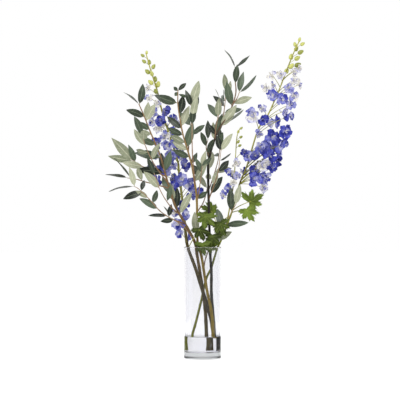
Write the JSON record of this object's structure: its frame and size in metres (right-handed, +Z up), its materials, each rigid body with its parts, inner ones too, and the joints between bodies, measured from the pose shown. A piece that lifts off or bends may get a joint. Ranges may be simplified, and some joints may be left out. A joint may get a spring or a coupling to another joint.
{
  "type": "vase of delphiniums",
  "caption": "Tall straight clear glass vase with a little water, holding blue delphinium spikes and leafy olive branches.",
  "frame": {"origin": "centre of the vase's underside, on the surface it stands on", "axes": "+Z up along the vase's axis, +X to the right and -Y towards the front of the arrangement"},
  "size_m": [0.5354, 0.2854, 0.8597],
  "materials": {
    "clear_glass": "gloss",
    "water": "gloss",
    "dark_stem": "matte",
    "green_leaf": "matte",
    "blue_petals": "matte",
    "pale_petals": "matte",
    "green_buds": "matte",
    "olive_leaf": "matte"
  },
  "bodies": {
    "root": {"vase": "clear_glass", "water": "water", "delphinium_left_stem": "dark_stem", "delphinium_left_spike": "blue_petals", "delphinium_left_buds": "green_buds", "delphinium_right_stem": "green_leaf", "delphinium_right_spike": "blue_petals", "delphinium_right_buds": "green_buds", "delphinium_right_side_spike": "pale_petals", "delphinium_right_side_buds": "green_buds", "olive_left": "olive_leaf", "olive_centre": "olive_leaf", "olive_right": "olive_leaf"}
  },
  "joints": []
}
